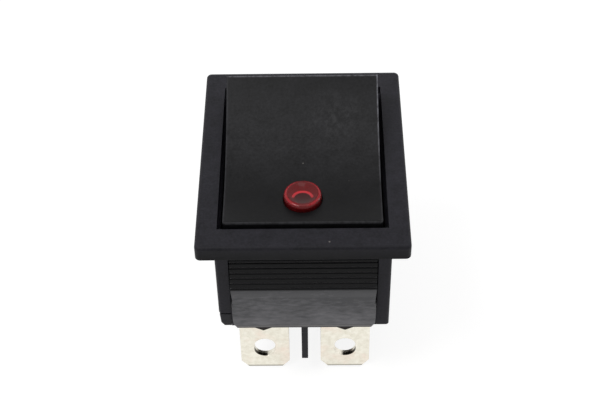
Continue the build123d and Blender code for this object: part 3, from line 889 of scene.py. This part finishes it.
def lensColours(tree):
    look = lensLook
    low, high = look["crownRadius"]
    middle = look["coreCentre"][1]
    flatten = add(tree, "ShaderNodeMapping")
    tree.links.new(place(tree), flatten.inputs["Vector"])
    flatten.inputs["Scale"].default_value = (1, 1, 0)
    flat = flatten.outputs["Vector"]
    across, along, _ = axes(tree, flat)
    across = maths(tree, "ABSOLUTE", across)
    fromCore = awayFrom(tree, flat, look["coreCentre"])
    fromAxis = awayFrom(tree, flat, (0, 0, 0))
    crown = times(
        tree,
        around(tree, fromAxis, low, look["crownInside"], soft=True),
        around(tree, fromAxis, high, look["crownOutside"], soft=True),
        spread(tree, across, *look["crownAcross"], *look["crownShow"], soft=True),
    )
    bowlLow, bowlHigh = (middle + part for part in look["bowlAlong"])
    bowl = times(
        tree,
        around(tree, fromAxis, low, look["bowlFade"], soft=True),
        spread(tree, along, bowlLow, bowlHigh, *look["bowlShow"], soft=True),
    )
    arc = times(
        tree,
        around(tree, fromCore, look["arcRadius"], look["arcFade"], soft=True),
        around(tree, along, middle, look["arcAlong"], soft=True),
    )
    core = around(tree, fromCore, look["coreRadius"], look["coreFade"], soft=True)
    # painted highlights on the crown and the arc, painted shade in the bowl and the core
    colour = blendColour(tree, crown, look["colour"], look["crown"])
    for where, layer in ((bowl, look["core"]), (arc, look["arc"]), (core, look["core"])):
        colour = blendColour(tree, where, colour, layer)
    # painted shade on the upright wall below the cap's rounded top
    upper = around(tree, axes(tree, place(tree))[2], lensShape["wall"], look["wallFade"])
    return blendColour(tree, upper, look["wallColour"], colour)


def lensCap():
    look = lensLook
    cap = turnedMesh("red_lens_cap", lensOutline(), lensShape["turns"])
    cap.matrix_world = onRocker()
    material, tree, shader = newMaterial("red_lens_polycarbonate")
    tree.links.new(lensColours(tree), shader.inputs["Base Color"])
    shader.inputs["Transmission Weight"].default_value = look["clear"]
    shader.inputs["Specular IOR Level"].default_value = look["shine"]
    shader.inputs["IOR"].default_value = look["bending"]
    smear = cloud(tree, place(tree), look["smearSize"], 4.0, 0.6)
    rough = spread(tree, smear, *noiseRange, *look["roughness"])
    tree.links.new(rough, shader.inputs["Roughness"])
    cap.data.materials.append(material)
    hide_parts("lens")
    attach(cap, "rocker")


# contact springs: heights are above the rocker's pivot
springShape = {
    "coil": 1.3 * mm,
    "wire": 0.15 * mm,
    "turns": 5,
    "foot": -1.05 * mm,          # on the shoulder of the plunger
    "top": 2.0 * mm,
    "sides": 12,
    "steps": 36,
}


def springMesh(name):
    shape = springShape
    build = bmesh.new()
    total = shape["turns"] * shape["steps"]
    rise = shape["top"] - shape["foot"]
    pitch = rise / (2 * pi * shape["turns"] * shape["coil"])
    ways = [2 * pi * index / shape["sides"] for index in range(shape["sides"])]
    rings = []
    for step in range(total + 1):
        turn = 2 * pi * step / shape["steps"]
        outward = Vector((cos(turn), sin(turn), 0))
        forward = Vector((-sin(turn), cos(turn), pitch)).normalized()
        across = forward.cross(outward)
        centre = outward * shape["coil"] + Vector((0, 0, shape["foot"] + rise * step / total))
        rings.append([
            build.verts.new(centre + shape["wire"] * (cos(way) * outward + sin(way) * across))
            for way in ways
        ])
    for lower, upper in zip(rings, rings[1:]):
        for index in range(shape["sides"]):
            following = (index + 1) % shape["sides"]
            corners = (lower[index], lower[following], upper[following], upper[index])
            build.faces.new(corners)
    build.faces.new(rings[0])
    build.faces.new(rings[-1])
    return finishMesh(name, build)


def contactSpring(side, pole):
    # the coil is set in the rocker's pressed pose over its pole, and baked there
    coil = springMesh(side + "_spring_coil")
    coil.data.materials.append(finishes["spring_steel"])
    pressed = (
        Matrix.Translation((0, 0, -rockerShape["pivotDepth"]))
        @ Matrix.Rotation(rockerShape["halfTravel"], 4, "X")
        @ Matrix.Translation((pole, 0, 0))
    )
    coil.matrix_world = pressed
    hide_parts("contact_spring_" + side)
    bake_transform(coil)


finishes = {
    "black_housing": housingPlastic(),
    "black_base": mouldedPlastic("black_base_nylon", baseLook)[0],
    "black_rocker": rockerPlastic(),
    "plated_terminal": bladeMetal(),
    **{metalSlot: otherMetal(*metal) for metalSlot, metal in otherMetals.items()},
    "resistor_ceramic": resistorCeramic(),
    "lamp_glass": lampGlass(),
}
for piece in nodes.values():
    for holderSlot in piece.material_slots:
        slotName = holderSlot.material.name
        if slotName in finishes:
            holderSlot.material = finishes[slotName]
print("finishes given to the carried pieces")

lensCap()
print("lens cap ready")
contactSpring("left", -tabShape["poles"])
contactSpring("right", tabShape["poles"])
print("contact springs ready")
